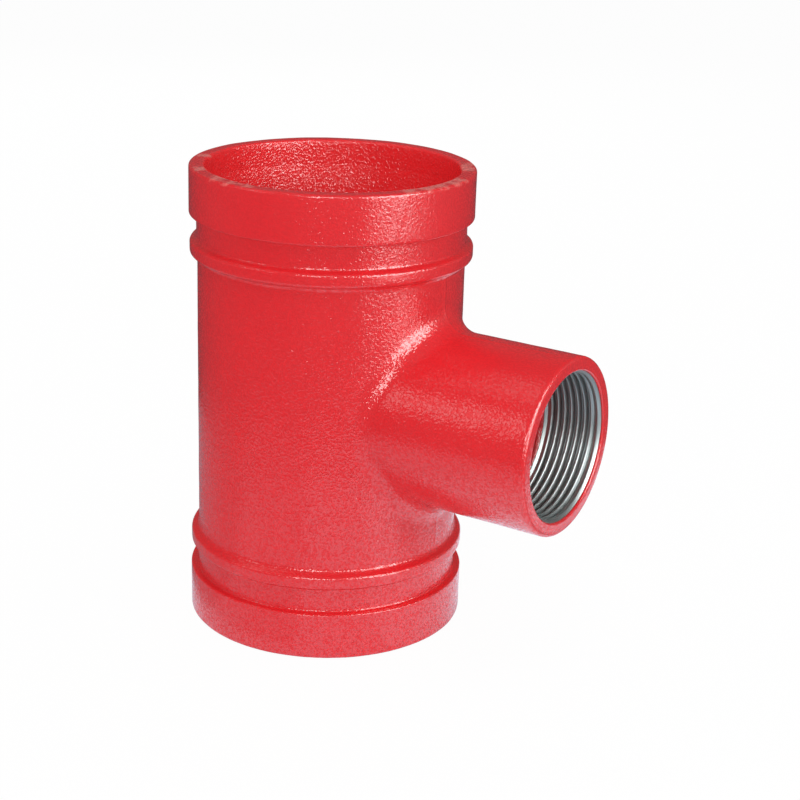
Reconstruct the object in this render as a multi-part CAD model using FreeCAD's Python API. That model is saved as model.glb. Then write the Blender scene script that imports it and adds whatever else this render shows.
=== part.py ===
import FreeCAD, Part
import os

Vector = FreeCAD.Vector

# Reducing tee of ductile iron, cast in one piece. The run is a straight pipe with a grooved
# end at the bottom and at the top. The branch leaves it at mid height and has a female
# pipe thread. The origin is the centre of the lower end face, +Z runs up the run and +X
# runs out of the branch. All sizes are in millimetres.

# The run
end_diameter = 88.9
run_length = 147.0
end_width = 15.1
groove_depth = 2.25
groove_floor = 7.6
bead_flank = 0.9
bead_crest = 3.8
bead_drop = 0.2
body_flank = 1.1
body_drop = 2.55

# The waterway inside the run, wide at the two mouths and narrower under the body
end_wall = 4.95
body_wall = 4.6
mouth_depth = 8.0
mouth_taper = 24.0

# The branch
branch_reach = 86.5
thread_minor_diameter = 44.845
thread_length = 20.0
thread_mouth_step = 0.7
thread_mouth_depth = 1.3
thread_end_step = 0.8
branch_wall = 5.28

# Edges of the casting: they are bevelled, and a round blend joins the branch to the body
end_bevel = 0.8
mouth_bevel = 0.8
groove_bevel = 0.4
bead_bevel = 0.6
branch_bevel = 0.7
crotch_bevel = 2.0
branch_blend = 8.0

# Sizes that follow from the ones above
end_radius = end_diameter / 2
groove_radius = end_radius - groove_depth
bead_radius = end_radius - bead_drop
body_radius = end_radius - body_drop
mouth_radius = end_radius - end_wall
waterway_radius = body_radius - body_wall
thread_radius = thread_minor_diameter / 2
branch_radius = thread_radius + branch_wall
core_radius = thread_radius - thread_end_step
branch_height = run_length / 2

# How far a cutting body stands past the face that it opens, and how near is the same place
overrun = 5.0
same_place = 0.01


def turned(corners):
    """The solid that an outline sweeps in one turn about the axis of the run.

    A corner is (radius, height, bevel). A bevel cuts the same length off both of its sides.
    """
    points = [Vector(-across, 0, up) for across, up, _ in corners]
    outline = []
    for index, (_, _, bevel) in enumerate(corners):
        here = points[index]
        if bevel > 0:
            for neighbour in (points[index - 1], points[(index + 1) % len(points)]):
                outline.append(here + (neighbour - here).normalize() * bevel)
        else:
            outline.append(here)
    face = Part.Face(Part.makePolygon(outline + outline[:1]))
    return face.revolve(Vector(0, 0, 0), Vector(0, 0, 1), 360)


def both_ends(corners):
    """The corners of the lower end, followed by the same ones turned over for the upper end."""
    upper = [(across, run_length - up, bevel) for across, up, bevel in reversed(corners)]
    return corners + upper


def edges_where(solid, test):
    """The edges of a solid that lie all along where the test holds."""
    found = []
    for edge in solid.Edges:
        first, last = edge.ParameterRange
        points = [edge.valueAt(first + (last - first) * share) for share in (0.1, 0.5, 0.9)]
        if all(test(point) for point in points):
            found.append(edge)
    return found


def from_run_axis(point):
    """Distance of a point from the axis of the run."""
    return Vector(point.x, point.y, 0).Length


def from_branch_axis(point):
    """Distance of a point from the axis of the branch."""
    return Vector(0, point.y, point.z - branch_height).Length


def near(value, target):
    """True where two lengths are the same but for rounding errors."""
    return abs(value - target) < same_place


def run_outside():
    """The run as a solid bar: end, groove, bead and body, and the same again upside down."""
    groove_end = end_width + groove_floor
    bead_start = groove_end + bead_flank
    bead_end = bead_start + bead_crest
    body_start = bead_end + body_flank
    return turned(both_ends([
        (0, 0, 0),
        (end_radius, 0, end_bevel),
        (end_radius, end_width, groove_bevel),
        (groove_radius, end_width, 0),
        (groove_radius, groove_end, 0),
        (bead_radius, bead_start, bead_bevel),
        (bead_radius, bead_end, bead_bevel),
        (body_radius, body_start, 0),
    ]))


def outside():
    """Run and branch as one solid bar, with the cast blend between them."""
    centre = Vector(0, 0, branch_height)
    branch = Part.makeCylinder(branch_radius, branch_reach, centre, Vector(1, 0, 0))
    bar = run_outside().fuse(branch).removeSplitter()
    root = edges_where(bar, lambda point: near(from_run_axis(point), body_radius)
                       and near(from_branch_axis(point), branch_radius))
    bar = bar.makeFillet(branch_blend, root)
    rim = edges_where(bar, lambda point: near(point.x, branch_reach)
                      and near(from_branch_axis(point), branch_radius))
    return bar.makeChamfer(branch_bevel, rim)


def waterway():
    """The space inside the run: a wide mouth at each end that narrows to the body's bore."""
    return turned(both_ends([
        (0, -overrun, 0),
        (mouth_radius, -overrun, 0),
        (mouth_radius, mouth_depth, 0),
        (waterway_radius, mouth_depth + mouth_taper, 0),
    ]))


def branch_bore():
    """The space inside the branch: bevelled mouth, bore for the thread, shoulder and cast bore."""
    axis = Vector(1, 0, 0)
    thread_start = branch_reach - thread_mouth_depth
    thread_end = branch_reach - thread_length
    slope = thread_mouth_step / thread_mouth_depth
    core = Part.makeCylinder(core_radius, thread_end, Vector(0, 0, branch_height), axis)
    shoulder = Part.makeCone(core_radius, thread_radius, thread_end_step,
                             Vector(thread_end - thread_end_step, 0, branch_height), axis)
    bore = Part.makeCylinder(thread_radius, thread_start - thread_end,
                             Vector(thread_end, 0, branch_height), axis)
    bevel = Part.makeCone(thread_radius, thread_radius + slope * (thread_mouth_depth + overrun),
                          thread_mouth_depth + overrun, Vector(thread_start, 0, branch_height), axis)
    return core.fuse([shoulder, bore, bevel])


def casting():
    """The finished tee: outside less waterway and branch bore, with its inner edges bevelled."""
    tee = outside().cut([waterway(), branch_bore()])
    crotch = edges_where(tee, lambda point: near(from_run_axis(point), waterway_radius)
                         and near(from_branch_axis(point), core_radius))
    tee = tee.makeChamfer(crotch_bevel, crotch)
    for height in (0, run_length):
        mouth = edges_where(tee, lambda point: near(point.z, height)
                            and near(from_run_axis(point), mouth_radius))
        tee = tee.makeChamfer(mouth_bevel, mouth)
    return tee.Solids[0]


os.makedirs("parts", exist_ok=True)
tee_casting = casting()
tee_casting.exportStep("parts/tee_casting.step")
print("tee_casting: one solid of", round(tee_casting.Volume / 1000, 2), "cubic centimetres")
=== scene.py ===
import bpy
import numpy as np
from mathutils import Matrix


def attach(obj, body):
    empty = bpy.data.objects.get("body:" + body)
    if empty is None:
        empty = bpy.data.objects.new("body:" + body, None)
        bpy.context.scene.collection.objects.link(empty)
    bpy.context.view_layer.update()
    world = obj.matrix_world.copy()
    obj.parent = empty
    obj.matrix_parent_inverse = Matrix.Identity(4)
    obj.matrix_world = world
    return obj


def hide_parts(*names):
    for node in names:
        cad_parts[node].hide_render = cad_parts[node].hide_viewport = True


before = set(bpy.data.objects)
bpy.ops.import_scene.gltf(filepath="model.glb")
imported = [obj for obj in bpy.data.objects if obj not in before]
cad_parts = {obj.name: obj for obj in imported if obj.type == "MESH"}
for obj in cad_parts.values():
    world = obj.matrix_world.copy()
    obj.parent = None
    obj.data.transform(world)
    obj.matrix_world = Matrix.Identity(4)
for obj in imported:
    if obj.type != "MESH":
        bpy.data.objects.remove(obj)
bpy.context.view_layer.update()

# A reducing pipe tee cast in ductile iron and painted red: an upright run with a grooved end
# below and above, and a branch towards +X whose thread is bare turned metal. Sizes are in
# millimetres until a mesh is written, and the shapes follow the solid that they stand for.
MM = 0.001

# The run
LENGTH = 147.0
END_RADIUS = 44.45
GROOVE_RADIUS = 42.2
BEAD_RADIUS = 44.25
BODY_RADIUS = 41.9
COLLAR_TOP = 15.1
GROOVE_TOP = 22.7
BEAD_FOOT = 23.6
BEAD_HEAD = 27.4
BODY_FOOT = 28.5
MOUTH_RADIUS = 39.5
MOUTH_DEPTH = 8.0
WATERWAY_RADIUS = 37.3
TAPER_END = 32.0

# The branch, and its cast bore behind the thread
BRANCH_HEIGHT = 73.5
BRANCH_REACH = 86.5
BRANCH_RADIUS = 27.7
CORE_RADIUS = 21.62
BLEND = 8.0
CROTCH = 2.0

# The thread with its start and end under the face of the branch, and the seat that the painted
# skin leaves for it. The thread is a turned sleeve that lies in the seat with a small gap.
THREAD_CREST = 22.42
THREAD_PITCH = 2.309
THREAD_DEPTH = 1.479
THREAD_FLANK = np.radians(27.5)
THREAD_ROUNDING = 0.1373
SEAT_MOUTH_RADIUS = 23.25
SEAT_MOUTH_DEPTH = 0.8
SEAT_RADIUS = 24.4
SEAT_END = 66.7
SLEEVE_GAP = 0.05
THREAD_START = 1.65
THREAD_END = 18.2

# The radii where the outside of the skin ends and its inside begins: on the face of the run's
# rims, and on the end wall of the thread's seat
RIM_OUTSIDE_END = 42.0
RIM_INSIDE_END = 40.9
SEAT_OUTSIDE_END = 23.5
SEAT_INSIDE_END = 23.0

# The two noises that the skin is drawn in by, as depth, wavelength and seed, and the height and
# half width of the raised seam that the mould left
SKIN_NOISES = ((0.09, 9.0, 3), (0.05, 3.2, 5))
SEAM_HEIGHT = 0.14
SEAM_WIDTH = 0.6

# Columns of points round the outside, the inside and the sleeve
OUTSIDE_COLUMNS = 256
INSIDE_COLUMNS = 132
SLEEVE_COLUMNS = 288


# --- meshes ---

class Shell:
    """A mesh being put together: its points, and faces that name their points by number."""

    def __init__(self):
        self.blocks = []
        self.faces = []
        self.count = 0

    def add(self, points):
        """Take in an array of points and give back their numbers in the array's own shape."""
        numbers = self.count + np.arange(points[..., 0].size).reshape(points.shape[:-1])
        self.blocks.append(points.reshape(-1, 3))
        self.count += numbers.size
        return numbers

    def keep(self, faces):
        """Take in a block of faces as they are."""
        self.faces.append(faces)

    def zip_rings(self, first, first_at, second, second_at):
        """Triangles between two rings of different counts, both going the same way round.

        Every edge of a ring, taken in the order of its middle's angle, is joined to the point
        that the other ring has reached by then."""
        def middles(at):
            return (at + np.append(at[1:], at[0] + 2 * np.pi)) / 2

        order = np.argsort(np.concatenate([middles(first_at), middles(second_at)]), kind="stable")
        step = order < len(first)
        i = np.cumsum(step) - step
        j = np.cumsum(~step) - ~step
        n, m = len(first), len(second)
        third = np.where(step, first[(i + 1) % n], second[(j + 1) % m])
        self.keep(np.stack([first[i % n], third, second[j % m]], axis=-1))

    def points(self):
        """All points, so that a face's numbers are places in this array."""
        return np.concatenate(self.blocks)


def grid_faces(rows, closed=False):
    """Quads between the points of a grid of numbers: cell (i, j) has the corners (i, j),
    (i, j+1), (i+1, j+1) and (i+1, j). A closed grid joins its last column to its first."""
    if closed:
        rows = np.concatenate([rows, rows[:, :1]], axis=1)
    quads = np.stack([rows[:-1, :-1], rows[:-1, 1:], rows[1:, 1:], rows[1:, :-1]], axis=-1)
    return quads.reshape(-1, 4)


def normals_of(points, faces):
    """Unit normals at the points: the sum of the area vectors of the faces round each."""
    total = np.zeros_like(points)
    for block in faces:
        a, b, c, d = (points[block[:, k]] for k in (0, 1, 2, block.shape[1] - 1))
        area = np.cross(c - a, d - b) if block.shape[1] == 4 else np.cross(b - a, c - a)
        for k in range(block.shape[1]):
            for axis in range(3):
                total[:, axis] += np.bincount(block[:, k], area[:, axis], len(points))
    return total / np.maximum(np.linalg.norm(total, axis=1, keepdims=True), 1e-12)


def add_piece(name, points, faces, material):
    """Write a smooth mesh from points in millimetres and blocks of quads and triangles, as a
    piece that stands for the casting."""
    corners = np.concatenate([block.ravel() for block in faces]).astype(np.int32)
    sizes = np.concatenate([np.full(len(block), block.shape[1]) for block in faces])
    mesh = bpy.data.meshes.new(name)
    mesh.vertices.add(len(points))
    mesh.vertices.foreach_set("co", (points * MM).ravel())
    mesh.loops.add(len(corners))
    mesh.loops.foreach_set("vertex_index", corners)
    mesh.polygons.add(len(sizes))
    mesh.polygons.foreach_set("loop_start", (np.cumsum(sizes) - sizes).astype(np.int32))
    mesh.update(calc_edges=True)
    mesh.validate()
    mesh.shade_smooth()
    mesh.materials.append(material)
    piece = bpy.data.objects.new(name, mesh)
    bpy.context.collection.objects.link(piece)
    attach(piece, "root")
    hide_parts("tee_casting")


def lattice_noise(points, wavelength, seed):
    """Smooth noise from -1 to 1: random values at the corners of a cubic lattice, mixed inside
    a cell by the weight 3t^2 - 2t^3 of the place t along each side."""
    count = 32
    values = np.random.default_rng(seed).uniform(-1, 1, (count, count, count))
    place = points / wavelength
    cell = np.floor(place).astype(int)
    weight = (3 - 2 * (place - cell)) * (place - cell) ** 2
    total = np.zeros(len(points))
    for corner in np.ndindex(2, 2, 2):
        share = np.prod(np.where(corner, weight, 1 - weight), axis=1)
        x, y, z = ((cell + corner) % count).T
        total += share * values[x, y, z]
    return total


def stretch(start, end, spacing):
    """Even steps from start to end, both included, no wider than the spacing."""
    return np.linspace(start, end, max(2, int(np.ceil(abs(end - start) / spacing)) + 1))


def outline(corners, spacing, arc_steps=5):
    """The line through (across, along, radius) corners with an arc in every corner.

    An arc of radius r in a corner that turns by the angle a starts r tan(a/2) before it. Between
    arcs the points stand at most the spacing apart."""
    at = np.array([corner[:2] for corner in corners], float)
    rounding = np.array([corner[2] for corner in corners], float)
    ahead = np.diff(at, axis=0)
    ahead /= np.linalg.norm(ahead, axis=1, keepdims=True)
    points = [at[:1]]
    for k in range(1, len(at) - 1):
        turn = np.arctan2(ahead[k - 1, 0] * ahead[k, 1] - ahead[k - 1, 1] * ahead[k, 0],
                          ahead[k - 1] @ ahead[k])
        cut = rounding[k] * np.tan(abs(turn) / 2)
        start = at[k] - ahead[k - 1] * cut
        side = np.sign(turn) * np.array([-ahead[k - 1, 1], ahead[k - 1, 0]])
        angle = np.linspace(0, abs(turn), arc_steps + 1)[:, None]
        arc = start + rounding[k] * (np.sin(angle) * ahead[k - 1] + (1 - np.cos(angle)) * side)
        share = stretch(0, 1, spacing / np.linalg.norm(start - points[-1][-1]))[1:-1, None]
        points += [points[-1][-1] * (1 - share) + start * share, arc]
    share = stretch(0, 1, spacing / np.linalg.norm(at[-1] - points[-1][-1]))[1:, None]
    points.append(points[-1][-1] * (1 - share) + at[-1] * share)
    return np.concatenate(points)


def turned(line, angles):
    """The line of (radius, height) points turned about the axis of the run."""
    radius, height = line[:, 0, None], line[:, 1, None]
    return np.stack(np.broadcast_arrays(
        radius * np.cos(angles), radius * np.sin(angles), height), axis=-1)


def round_branch(line, angles):
    """The line of (radius, reach) points turned about the axis of the branch, with the angle
    counted from +Y towards +Z."""
    radius, reach = line[:, 0, None], line[:, 1, None]
    return np.stack(np.broadcast_arrays(
        reach, radius * np.cos(angles), BRANCH_HEIGHT + radius * np.sin(angles)), axis=-1)


def rolled_edge(run_radius, branch_radius, ball, angles, steps):
    """The surface that a ball leaves as it rolls along both cylinders, from run to branch.

    Its centre is the ball's radius further out than either cylinder: at the angle p round the
    branch it lies at y = (b + r) cos p, z = (b + r) sin p and x^2 = (a + r)^2 - y^2. From there
    the two contact normals are mixed along the great circle between them."""
    y = (branch_radius + ball) * np.cos(angles)
    z = (branch_radius + ball) * np.sin(angles)
    x = np.sqrt((run_radius + ball) ** 2 - y ** 2)
    centre = np.stack([x, y, z], axis=-1)
    to_run = -np.stack([x, y, 0 * z], axis=-1) / (run_radius + ball)
    to_branch = -np.stack([0 * x, y, z], axis=-1) / (branch_radius + ball)
    wide = np.arccos(np.sum(to_run * to_branch, axis=-1, keepdims=True))
    share = np.linspace(0, 1, steps + 1)[:, None, None]
    mixed = (np.sin((1 - share) * wide) * to_run + np.sin(share * wide) * to_branch) / np.sin(wide)
    return centre + ball * mixed + (0, 0, BRANCH_HEIGHT)


def window_ring(rows, columns, heights, angles, numbers):
    """The border of a window in a grid, anticlockwise seen from the branch, from its lower right.

    Gives its numbers, and for each the angle round the branch that it is joined to: along one
    side of the window the angle grows evenly from one diagonal to the next."""
    low, high = rows
    left, right = columns
    i = np.concatenate([np.arange(low, high), np.full(right - left, high),
                        np.arange(high, low, -1), np.full(right - left, low)])
    j = np.concatenate([np.full(high - low, right), np.arange(right, left, -1),
                        np.full(high - low, left), np.arange(left, right)])
    up = 2 * (heights[i] - heights[low]) / (heights[high] - heights[low]) - 1
    out = 2 * (angles[j] - angles[left]) / (angles[right] - angles[left]) - 1
    side = np.repeat([0, 1, 2, 3], [high - low, right - left, high - low, right - left])
    along = np.choose(side, [up, -out, -up, out])
    return numbers[i, j], side * np.pi / 2 + along * np.pi / 4, angles[j], heights[i]


def cut_window(numbers, heights, angles, half_height, half_angle):
    """A window for the branch in a closed grid whose rows go up the run.

    Gives the cells that stay, and the window's border as window_ring does."""
    rows = [np.argmin(abs(heights - (BRANCH_HEIGHT + way * half_height))) for way in (-1, 1)]
    columns = [np.argmin(abs(angles - way * np.radians(half_angle))) for way in (-1, 1)]
    stays = np.ones((len(numbers) - 1, len(angles)), bool)
    stays[rows[0]:rows[1], columns[0]:columns[1]] = False
    return stays, window_ring(rows, columns, heights, angles, numbers)


def joined_patch(run_radius, ring_angles, ring_heights, loop, steps):
    """Rows of points on the run's wall between a window's border and the loop inside it.

    Both are unrolled to angle and height, and the rows divide the straight lines between them."""
    loop_angles = np.arctan2(loop[:, 1], loop[:, 0])
    share = np.linspace(0, 1, steps + 1)[1:-1, None]
    angle = ring_angles * (1 - share) + loop_angles * share
    height = ring_heights * (1 - share) + loop[:, 2] * share
    return np.stack([run_radius * np.cos(angle), run_radius * np.sin(angle), height], axis=-1)


def mirrored_up(half):
    """The corners of one end of the run, turned over for the upper end, in their own order."""
    return [(across, LENGTH - up, rounding) for across, up, rounding in half]


def casting_outside(shell):
    """Add the outside of the run and the branch, from the rims' faces to the seat of the thread.

    Gives its upper and its lower ring with their angles, and its ring in the seat with its own."""
    angles = np.linspace(-np.pi, np.pi, OUTSIDE_COLUMNS, endpoint=False)

    # More columns stand close to the seam, on both sides of the run
    seam = np.array([-0.8, -0.4, 0.4, 0.8]) / BODY_RADIUS
    angles = np.sort(np.concatenate([angles, seam, (seam + 2 * np.pi) % (2 * np.pi) - np.pi]))

    # The run, from its lower end to its upper one
    half = [(RIM_OUTSIDE_END, 0, 0), (END_RADIUS, 0, 0.9), (END_RADIUS, COLLAR_TOP, 0.5),
            (GROOVE_RADIUS, COLLAR_TOP, 0.6), (GROOVE_RADIUS, GROOVE_TOP, 0.9),
            (BEAD_RADIUS, BEAD_FOOT, 1.1), (BEAD_RADIUS, BEAD_HEAD, 1.2),
            (BODY_RADIUS, BODY_FOOT, 1.6)]
    line = outline(half + mirrored_up(half[::-1]), spacing=1.08)
    outer = shell.add(turned(line, angles))
    stays, (ring, around, ring_angles, ring_heights) = cut_window(
        outer, line[:, 1], angles, half_height=43.2, half_angle=56)
    shell.keep(grid_faces(outer, closed=True)[stays.ravel()])

    # The blend at the branch's root, the branch itself, its rim, and the seat of the thread
    blend = rolled_edge(BODY_RADIUS, BRANCH_RADIUS, BLEND, around, steps=12)
    patch = joined_patch(BODY_RADIUS, ring_angles, ring_heights, blend[0], steps=10)
    stem_end = BRANCH_REACH - 2.0
    share = stretch(0, 1, 1.15 / (stem_end - blend[-1, :, 0].max()))[1:, None, None]
    stem = blend[-1:] * (1 - share) + share * round_branch(
        np.array([[BRANCH_RADIUS, stem_end]]), around)
    seat_mouth = BRANCH_REACH - SEAT_MOUTH_DEPTH
    rim = outline([(BRANCH_RADIUS, stem_end, 0), (BRANCH_RADIUS, BRANCH_REACH, 1.4),
                   (SEAT_MOUTH_RADIUS, BRANCH_REACH, 0.6), (SEAT_MOUTH_RADIUS, seat_mouth, 0.05),
                   (SEAT_RADIUS, seat_mouth, 0.2), (SEAT_RADIUS, SEAT_END, 0.2),
                   (SEAT_OUTSIDE_END, SEAT_END, 0)], spacing=1.6)
    outside = np.concatenate([patch, blend, stem, round_branch(rim[1:], around)])
    outside = np.concatenate([ring[None], shell.add(outside)])
    shell.keep(grid_faces(outside, closed=True))
    return outer[-1], outer[0], angles, outside[-1], around


def casting_inside(shell):
    """Add the waterway of the run and the cast bore of the branch.

    Gives its upper and its lower ring with their angles, and its ring in the seat with its own."""
    # The run, from its upper end to its lower one
    angles = np.linspace(-np.pi, np.pi, INSIDE_COLUMNS, endpoint=False)
    half = [(RIM_INSIDE_END, 0, 0), (MOUTH_RADIUS, 0, 0.9), (MOUTH_RADIUS, MOUTH_DEPTH, 2.0),
            (WATERWAY_RADIUS, TAPER_END, 8.0)]
    line = outline(mirrored_up(half) + half[::-1], spacing=1.9)
    inner = shell.add(turned(line, angles))
    stays, (ring, around, ring_angles, ring_heights) = cut_window(
        inner[::-1], line[::-1, 1], angles, half_height=30, half_angle=48)
    shell.keep(grid_faces(inner, closed=True)[stays[::-1].ravel()])

    # The cast bore of the branch, in from the seat of the thread, and the rounded crotch where it
    # opens into the run, about 34 mm from the run's axis
    crotch = rolled_edge(WATERWAY_RADIUS, CORE_RADIUS, CROTCH, around, steps=6)[::-1]
    core_end = SEAT_END - 0.2
    core = round_branch(np.array([[SEAT_INSIDE_END, SEAT_END], [22.2, SEAT_END],
                                  [CORE_RADIUS, core_end]]), around)
    share = stretch(0, 1, 2.0 / (core_end - 34.0))[1:-1, None, None]
    bore = core[-1:] * (1 - share) + crotch[:1] * share
    patch = joined_patch(WATERWAY_RADIUS, ring_angles, ring_heights, crotch[-1], steps=6)[::-1]
    inside = shell.add(np.concatenate([core, bore, crotch, patch]))
    shell.keep(grid_faces(np.concatenate([inside, ring[None]]), closed=True))
    return inner[0], inner[-1], angles, inside[0], around


def casting_skin():
    """The outside, the mouths, the waterway and the branch of the tee as one closed surface."""
    shell = Shell()
    outer_top, outer_foot, outer_angles, outer_seat, outer_around = casting_outside(shell)
    inner_top, inner_foot, inner_angles, inner_seat, inner_around = casting_inside(shell)
    shell.zip_rings(outer_seat, outer_around, inner_seat, inner_around)
    shell.zip_rings(outer_top, outer_angles, inner_top, inner_angles)
    shell.zip_rings(inner_foot, inner_angles, outer_foot, outer_angles)
    return shell


def weathered(points, faces):
    """Draw the skin in along its normals, as a casting's is uneven, but for a fine raised seam
    in the plane of both axes, where the halves of the mould met, and the turned seat.

    A shift of 500 mm picks the part of each noise's lattice that the tee stands in."""
    normal = normals_of(points, faces)
    depth = sum(deep * (1 + lattice_noise(points + 500, wavelength, seed)) / 2
                for deep, wavelength, seed in SKIN_NOISES)
    x, y, z = points.T
    run = np.hypot(x, y)
    branch = np.hypot(y, z - BRANCH_HEIGHT)

    # The seam runs over the outside alone, between the beads and short of the branch's rim
    outside = (run > BODY_RADIUS - 0.9) & ((branch > BRANCH_RADIUS - 0.7) | (x < 0))
    body = (z > BODY_FOOT) & (z < LENGTH - BODY_FOOT) & (run < 80)
    seam = SEAM_HEIGHT * np.exp(-(y / SEAM_WIDTH) ** 2) * (outside & body)
    seat = (branch < SEAT_RADIUS + 0.4) & (x > 60)
    depth = np.where(seat, 0, depth - seam)
    return points - normal * depth[:, None]


def thread_sleeve():
    """The turned metal inside the branch, as one closed ring of wall with a pipe thread.

    At the reach x and the angle a the wall of the pitch p stands at crest radius + d(u), with
    u = (x - p a / 2 pi) / p counted from the nearest crest. The depth d follows an arc of the
    radius 0.1373 p round the crest, a flank of 27.5 degrees, and an arc round the root."""
    shell = Shell()
    around = np.linspace(0, 2 * np.pi, SLEEVE_COLUMNS, endpoint=False)
    back = SEAT_END + SLEEVE_GAP
    hidden_radius = SEAT_RADIUS - SLEEVE_GAP
    front = BRANCH_REACH - SEAT_MOUTH_DEPTH - 0.06
    hidden = outline([(23.4, back, 0), (hidden_radius, back, 0.2), (hidden_radius, front, 0.2),
                      (SEAT_MOUTH_RADIUS - 0.07, front, 0.05), (THREAD_CREST + 0.02, 84.9, 0)],
                     spacing=3.0, arc_steps=3)

    # The depth under the face of the branch, and the distance along it from the middle of the
    # nearest crest. The 0.27 of a pitch turns the thread to its place in the photograph.
    deep = stretch(THREAD_START, THREAD_END, THREAD_PITCH / 20)[:, None]
    reach = BRANCH_REACH - deep
    place = (reach - THREAD_PITCH * around / (2 * np.pi)) / THREAD_PITCH + 0.27
    place = abs(place - np.round(place)) * THREAD_PITCH
    radius = THREAD_ROUNDING * THREAD_PITCH
    arc = radius * np.cos(THREAD_FLANK)
    drop = radius * (1 - np.sin(THREAD_FLANK))
    half = THREAD_PITCH / 2
    crest = radius - np.sqrt(np.maximum(radius ** 2 - place ** 2, 0))
    root = THREAD_DEPTH - (radius - np.sqrt(np.maximum(radius ** 2 - (half - place) ** 2, 0)))
    flank = drop + (place - arc) / np.tan(THREAD_FLANK)
    depth = np.where(place < arc, crest, np.where(place > half - arc, root, flank))

    # The thread grows over 2.6 mm behind the mouth and fades over 1.2 mm at its end
    fade = np.clip((deep - 1.8) / 2.6, 0, 1) * np.clip((18.1 - deep) / 1.2, 0, 1)
    wall = THREAD_CREST + depth * fade ** 2 * (3 - 2 * fade)
    thread = np.stack([np.broadcast_to(reach, wall.shape), wall * np.cos(around),
                       BRANCH_HEIGHT + wall * np.sin(around)], axis=-1)

    # Behind the thread a shoulder narrows to the cast bore
    shoulder = outline([(THREAD_CREST, 68.2, 0), (THREAD_CREST, 67.6, 0.2), (21.68, 66.82, 0.05),
                        (21.75, back, 0.03), (23.0, back, 0)], spacing=1.0, arc_steps=3)
    rows = shell.add(np.concatenate([round_branch(hidden, around), thread,
                                     round_branch(shoulder, around)]))
    shell.keep(grid_faces(np.concatenate([rows, rows[:1]]), closed=True))
    return shell


# --- materials ---

def colour(code):
    """A colour written as sRGB hex, turned linear."""
    value = np.array([int(code[k:k + 2], 16) for k in (1, 3, 5)]) / 255
    value = np.where(value <= 0.04045, value / 12.92, ((value + 0.055) / 1.055) ** 2.4)
    return (*value.tolist(), 1.0)


def add_node(material, kind, inputs=(), **settings):
    """A node with its settings; an input is a value, or a socket to be linked from."""
    tree = material.node_tree
    made = tree.nodes.new(kind)
    for name, value in settings.items():
        setattr(made, name, value)
    for name, value in dict(inputs).items():
        if isinstance(value, bpy.types.NodeSocket):
            tree.links.new(value, made.inputs[name])
        else:
            made.inputs[name].default_value = value
    return made


def graded(material, value, start, end, low, high):
    """From low to high as the value goes from start to end, and level beyond them."""
    return add_node(material, "ShaderNodeMapRange", {
        "Value": value, "From Min": start, "From Max": end,
        "To Min": low, "To Max": high}).outputs["Result"]


def mixed_colour(material, share, first, second):
    """The first colour where the share is 0, and the second where it is 1."""
    return add_node(material, "ShaderNodeMix", {"Factor": share, "A": first, "B": second},
                    data_type="RGBA").outputs[2]


def axis_distance(material, place, across, shift):
    """How far a place lies from an axis, as the length of place * across + shift."""
    offset = add_node(material, "ShaderNodeVectorMath", {0: place, 1: across, 2: shift},
                      operation="MULTIPLY_ADD")
    return add_node(material, "ShaderNodeVectorMath", {0: offset.outputs[0]},
                    operation="LENGTH").outputs["Value"]


def new_material(name):
    """A material with an empty node tree."""
    material = bpy.data.materials.new(name)
    material.use_nodes = True
    material.node_tree.nodes.clear()
    return material


def rim_glints_and_wear(material, place):
    """From 0 to 0.9 where the upper rim is painted pale: painted highlights for glints on its
    face, partly paint rubbed thin, and 0 elsewhere.

    The spots are given by their angle round the run and their radius in millimetres. All lie on
    one ring of the rim's face, and noise makes their edges ragged."""
    ring = 41.3
    spots = ((-158, 3.4), (-130, 3.2), (-110, 3.8), (-101, 3.3), (-92, 2.7), (-23, 3.6),
             (-15, 4.2), (-7, 4.2), (1, 3.6), (9, 2.6), (31, 3.4), (39, 3.8))
    noise = add_node(material, "ShaderNodeTexNoise", {
        "Vector": place, "Scale": 1 / 0.0035, "Detail": 4.0, "Roughness": 0.65})
    ragged = add_node(material, "ShaderNodeMath", {
        0: noise.outputs["Fac"], 1: 0.014, 2: -0.007}, operation="MULTIPLY_ADD")
    total = 0.0
    for angle, size in spots:
        turn = np.radians(angle)
        centre = np.array([ring * np.cos(turn), ring * np.sin(turn), LENGTH]) * MM
        away = add_node(material, "ShaderNodeVectorMath", {
            0: place, 1: centre.tolist()}, operation="DISTANCE")
        away = add_node(material, "ShaderNodeMath", {
            0: away.outputs["Value"], 1: ragged.outputs[0]}, operation="ADD")
        spot = graded(material, away.outputs[0], size * MM * 0.35, size * MM, 1.0, 0.0)
        total = add_node(material, "ShaderNodeMath", {0: spot, 1: total},
                         operation="MAXIMUM").outputs[0]
    height = add_node(material, "ShaderNodeSeparateXYZ", {"Vector": place}).outputs["Z"]
    rim = graded(material, height, (LENGTH - 1.3) * MM, (LENGTH - 0.6) * MM, 0.0, 0.9)
    return add_node(material, "ShaderNodeMath", {0: total, 1: rim},
                    operation="MULTIPLY").outputs[0]


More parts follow.
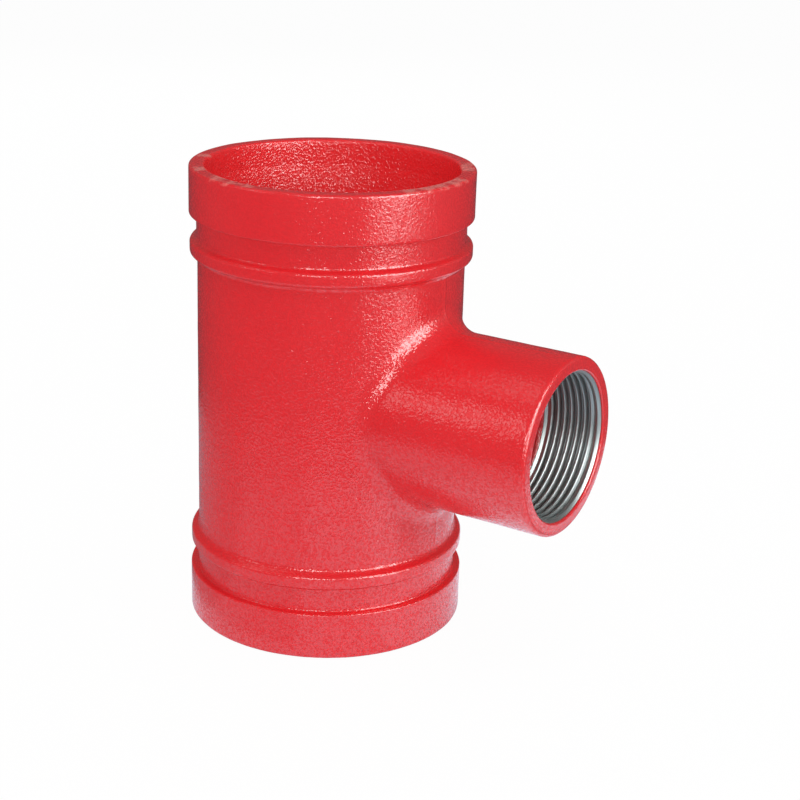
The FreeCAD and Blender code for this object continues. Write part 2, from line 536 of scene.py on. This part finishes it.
def red_enamel():
    """Gloss enamel sprayed on sand-cast iron: a clear mirror over wormy grain under 1 mm wide,
    thin where the paint sank into the pits between, so that highlights break up into fine crests.

    The gloss follows the grain 0.14 mm deep outside and 0.38 mm deep inside the run, and the
    pigment below it only 0.05 mm. The red is a little uneven, and inside the run it is painted
    brighter, a painted lift that stands in for light there. On the upper rim pale spots are
    painted highlights for glints on its face, put down as paint worn thin."""
    material = new_material("red_enamel_on_cast_iron")
    place = add_node(material, "ShaderNodeTexCoord").outputs["Object"]
    grain = add_node(material, "ShaderNodeTexNoise", {
        "Vector": place, "Scale": 1 / 0.00075, "Detail": 0.4, "Roughness": 0.5,
        "Distortion": 0.6}).outputs["Fac"]
    radius = axis_distance(material, place, (1, 1, 0), (0, 0, 0))
    inside = graded(material, radius, 0.0395, 0.041, 1.0, 0.0)
    depth = add_node(material, "ShaderNodeMath", {
        0: inside, 1: 0.00024, 2: 0.00014}, operation="MULTIPLY_ADD")
    gloss = add_node(material, "ShaderNodeBump", {
        "Height": grain, "Strength": 1.0, "Distance": depth.outputs[0]})
    bump = add_node(material, "ShaderNodeBump", {
        "Height": grain, "Strength": 1.0, "Distance": 0.00005})
    patches = add_node(material, "ShaderNodeTexNoise", {
        "Vector": place, "Scale": 1 / 0.022, "Detail": 3.0, "Roughness": 0.6})
    tint = mixed_colour(material, patches.outputs["Fac"], colour("#DD1C25"), colour("#E42228"))
    # Inside the run the red is painted brighter: painted light that lifts the shade there
    tint = mixed_colour(material, inside, tint, colour("#EE262B"))
    # Painted highlights: pale spots on the upper rim for glints on its face, partly paint worn
    # thin
    tint = mixed_colour(material, rim_glints_and_wear(material, place), tint, colour("#F07A73"))
    shader = add_node(material, "ShaderNodeBsdfPrincipled", {
        "Base Color": tint, "Roughness": 0.45, "Specular IOR Level": 0.2,
        "Coat Weight": graded(material, grain, 0.4, 0.53, 0.38, 1.0), "Coat Roughness": 0.06,
        "Coat IOR": 1.8, "Normal": bump.outputs["Normal"],
        "Coat Normal": gloss.outputs["Normal"]})
    add_node(material, "ShaderNodeOutputMaterial", {"Surface": shader.outputs["BSDF"]})
    return material


def machined_iron():
    """Turned iron: bare grey metal with fine tool marks that run round the bore, which draw its
    highlights out. The roots of the thread are painted darker, a painted shade for the shadow
    that falls in them, so that the turns stand out from each other."""
    material = new_material("turned_ductile_iron")
    place = add_node(material, "ShaderNodeTexCoord").outputs["Object"]
    drawn_out = add_node(material, "ShaderNodeMapping", {
        "Vector": place, "Scale": (1.0, 0.06, 0.06)})
    marks = add_node(material, "ShaderNodeTexNoise", {
        "Vector": drawn_out.outputs["Vector"], "Scale": 1 / 0.0003, "Detail": 2.0})
    bump = add_node(material, "ShaderNodeBump", {
        "Height": marks.outputs["Fac"], "Strength": 0.3, "Distance": 0.00002})
    radius = axis_distance(material, place, (0, 1, 1), (0, 0, -BRANCH_HEIGHT * MM))
    # Painted shade: the grey darkens towards the thread's roots, where shadow falls
    deep = graded(material, radius, 0.0228, 0.0239, 0.0, 1.0)
    shader = add_node(material, "ShaderNodeBsdfPrincipled", {
        "Base Color": mixed_colour(material, deep, colour("#AFB8B7"), colour("#9BA4A3")),
        "Metallic": 1.0, "Roughness": 0.44, "Normal": bump.outputs["Normal"]})
    add_node(material, "ShaderNodeOutputMaterial", {"Surface": shader.outputs["BSDF"]})
    return material


# --- the pieces ---

casting = casting_skin()
casting_points = weathered(casting.points(), casting.faces)
add_piece("tee_skin", casting_points, casting.faces, red_enamel())
sleeve = thread_sleeve()
add_piece("branch_thread", sleeve.points(), sleeve.faces, machined_iron())


# --- floor, light and camera ---

# The floor's half side and its drop below the tee in metres, and what mirrors see of white paper
FLOOR_HALF = 6.0
FLOOR_DROP = 0.0002
MIRRORED_WHITE = colour("#DDE4F2")


def paper_floor():
    """White paper: mirrors see its white as it is, and the camera most of it, but what the
    camera sees is also lit by the lamps, so that the shadow of the tee stays on it."""
    material = new_material("white_paper")
    path = add_node(material, "ShaderNodeLightPath").outputs
    mirrors = add_node(material, "ShaderNodeMath", {
        0: path["Is Glossy Ray"], 1: path["Is Transmission Ray"]}, operation="ADD")
    lit = add_node(material, "ShaderNodeBsdfDiffuse", {"Color": colour("#F4F4F4")})
    white = mixed_colour(material, mirrors.outputs[0], (1, 1, 1, 1), MIRRORED_WHITE)
    white = add_node(material, "ShaderNodeEmission", {"Color": white, "Strength": 1.0})
    share = add_node(material, "ShaderNodeMath", {
        0: path["Is Camera Ray"], 1: 0.97, 2: mirrors.outputs[0]}, operation="MULTIPLY_ADD")
    mixed = add_node(material, "ShaderNodeMixShader", {
        "Fac": share.outputs[0], 1: lit.outputs[0], 2: white.outputs[0]})
    add_node(material, "ShaderNodeOutputMaterial", {"Surface": mixed.outputs[0]})
    return material


floor_mesh = bpy.data.meshes.new("floor")
floor_mesh.from_pydata([(x * FLOOR_HALF, y * FLOOR_HALF, 0) for x, y in
                        ((-1, -1), (1, -1), (1, 1), (-1, 1))], [], [(0, 1, 2, 3)])
floor_mesh.materials.append(paper_floor())
floor = bpy.data.objects.new("floor", floor_mesh)
bpy.context.collection.objects.link(floor)
floor.location.z = -FLOOR_DROP


def studio_world():
    """A white room: full white for the camera, 0.29 of it as light on what is matt, and 0.1 of
    it in mirrors, so that the shine comes from the lamps and papers below."""
    world = bpy.data.worlds.new("studio")
    bpy.context.scene.world = world
    world.use_nodes = True
    world.node_tree.nodes.clear()
    path = add_node(world, "ShaderNodeLightPath").outputs
    seen = graded(world, path["Is Camera Ray"], 0.0, 1.0, 0.29, 1.0)
    dimmed = add_node(world, "ShaderNodeMath", {
        0: path["Is Glossy Ray"], 1: -0.19, 2: seen}, operation="MULTIPLY_ADD")
    sky = add_node(world, "ShaderNodeBackground", {
        "Color": (1, 1, 1, 1), "Strength": dimmed.outputs[0]})
    add_node(world, "ShaderNodeOutputWorld", {"Surface": sky.outputs[0]})


studio_world()


def soft_lamp(name, azimuth, elevation, distance, wide, tall, strength, light=True, shine=True):
    """An elliptic lamp that faces the middle of the tee, 70 mm up, from an azimuth and an
    elevation in degrees and a distance in metres. It lights what is matt, shows as shine on what
    is glossy, or does both, and the camera doesn't see it.

    Strength is its radiance, so its power is pi times its area times that."""
    lamp = bpy.data.lights.new(name, "AREA")
    lamp.shape = "ELLIPSE"
    lamp.size = wide
    lamp.size_y = tall
    lamp.energy = np.pi * (np.pi / 4 * wide * tall) * strength
    holder = bpy.data.objects.new(name, lamp)
    holder.visible_camera = False
    holder.visible_diffuse = light
    holder.visible_glossy = shine
    bpy.context.collection.objects.link(holder)
    around, up = np.radians((azimuth, elevation))
    away = np.array([np.cos(up) * np.cos(around), np.cos(up) * np.sin(around), np.sin(up)])
    across = np.array([-np.sin(around), np.cos(around), 0])
    turn = Matrix(np.column_stack([across, np.cross(away, across), away]).tolist()).to_4x4()
    turn.translation = (away * distance + (0, 0, 0.07)).tolist()
    holder.matrix_world = turn


# These only light what is matt
soft_lamp("key", 2, 17, 0.8, 0.5, 0.2, 3.4, shine=False)
soft_lamp("right", 45, 18, 1.2, 0.6, 0.5, 3.8, shine=False)
soft_lamp("front", -60, 62, 1.2, 0.8, 0.6, 2.4, shine=False)
soft_lamp("side", -155, 10, 1.2, 0.9, 0.5, 2.0, shine=False)
soft_lamp("top", -55, 85, 1.2, 1.0, 1.0, 1.4, shine=False)
soft_lamp("back", 130, 25, 1.2, 0.9, 0.6, 2.6, shine=False)

# The lower part of the long highlight on the blend over the branch, and light from that side
soft_lamp("strip", -66, 20, 1.2, 0.58, 0.5, 6.2)

# Shine alone: the upper part of that highlight, the sparkle along the branch, the sheen on top
# of it, and two low lamps for the upright highlights on the collars, the body and the mouth
soft_lamp("key_shine", -7, 20, 0.8, 0.76, 0.62, 6.2, light=False)
soft_lamp("left_shine", -122, 28, 1.2, 0.45, 0.6, 1.1, light=False)
soft_lamp("ceiling_shine", -158, 62, 1.2, 0.7, 0.6, 0.5, light=False)
soft_lamp("low_shine", -10, -4.0, 0.48, 0.34, 0.045, 1.45, light=False)
soft_lamp("wide_shine", -2, -3.8, 0.485, 0.52, 0.05, 1.2, light=False)


def mirrored_paper(name, inner, outer, start, end, level):
    """Part of a ring of paper laid on the floor round the tee, for mirrors alone to see, with
    its radii in millimetres, its two ends in degrees and its brightness, where 1 is white."""
    material = new_material(name)
    glow = add_node(material, "ShaderNodeEmission", {"Color": MIRRORED_WHITE, "Strength": level})
    add_node(material, "ShaderNodeOutputMaterial", {"Surface": glow.outputs[0]})
    columns, height = 72, -0.1
    angles = np.radians(np.linspace(start, end, columns))
    points = turned(np.array([[inner, height], [outer, height]]), angles).reshape(-1, 3)
    rows = np.arange(len(points)).reshape(2, columns)
    mesh = bpy.data.meshes.new(name)
    mesh.from_pydata((points * MM).tolist(), [], grid_faces(rows)[:, ::-1].tolist())
    mesh.materials.append(material)
    paper = bpy.data.objects.new(name, mesh)
    bpy.context.collection.objects.link(paper)
    paper.visible_camera = False
    paper.visible_shadow = False
    paper.visible_diffuse = False


# The gloss of an upright wall shows the floor: near the wall's foot the paper beside it, and
# higher up the dark room round the table
mirrored_paper("dark_ring", 215, 6000, 0, 360, 0.09)

# The left and the front of the body show greyer paper
mirrored_paper("grey_side", 52, 215, 140, 235, 0.36)
mirrored_paper("grey_front", 52, 215, 235, 290, 0.64)

# On the branch's side the foot of the tee and the face of the branch's rim show bright paper, and
# the body between them grey
mirrored_paper("bright_foot", 46, 110, -25, 115, 1.25)
mirrored_paper("bright_side", 110, 215, -25, 0, 1.4)
mirrored_paper("right_side", 110, 215, 0, 22, 0.5)
mirrored_paper("right_foot", 110, 150, 22, 85, 0.5)
mirrored_paper("face_side", 150, 215, 22, 85, 1.5)

# The camera's place and turns were worked out from the rims and the branch in the photograph.
# The focal length is in pixels of a picture 800 wide.
DISTANCE, HEIGHT, FOCAL, PICTURE_WIDTH = 533.6, 255.8, 1751.8, 800
PITCH, YAW, ROLL, AZIMUTH = 0.3340, 0.0429, 0.0323, np.radians(34.5)
SENSOR_WIDTH = 36


def photo_camera():
    """A camera at (0, -distance, height) that looks along the yaw and the pitch, rolled about
    its line of sight, and carried round the run's axis with all its axes by the azimuth."""
    ahead = np.array([np.sin(YAW) * np.cos(PITCH), np.cos(YAW) * np.cos(PITCH), -np.sin(PITCH)])
    right = np.array([np.cos(YAW), -np.sin(YAW), 0])
    up = np.cross(right, ahead)
    rolled_right = np.cos(ROLL) * right + np.sin(ROLL) * up
    rolled_up = -np.sin(ROLL) * right + np.cos(ROLL) * up
    cos, sin = np.cos(AZIMUTH), np.sin(AZIMUTH)
    turn = np.array([[cos, -sin, 0], [sin, cos, 0], [0, 0, 1]])
    axes = turn @ np.column_stack([rolled_right, rolled_up, -ahead])
    place = Matrix(axes.tolist()).to_4x4()
    place.translation = (turn @ (0, -DISTANCE, HEIGHT) * MM).tolist()
    lens = bpy.data.cameras.new("camera")
    lens.sensor_width = SENSOR_WIDTH
    lens.lens = SENSOR_WIDTH * FOCAL / PICTURE_WIDTH
    camera = bpy.data.objects.new("camera", lens)
    bpy.context.collection.objects.link(camera)
    camera.matrix_world = place
    bpy.context.scene.camera = camera


photo_camera()
bpy.context.scene.view_settings.view_transform = "Standard"
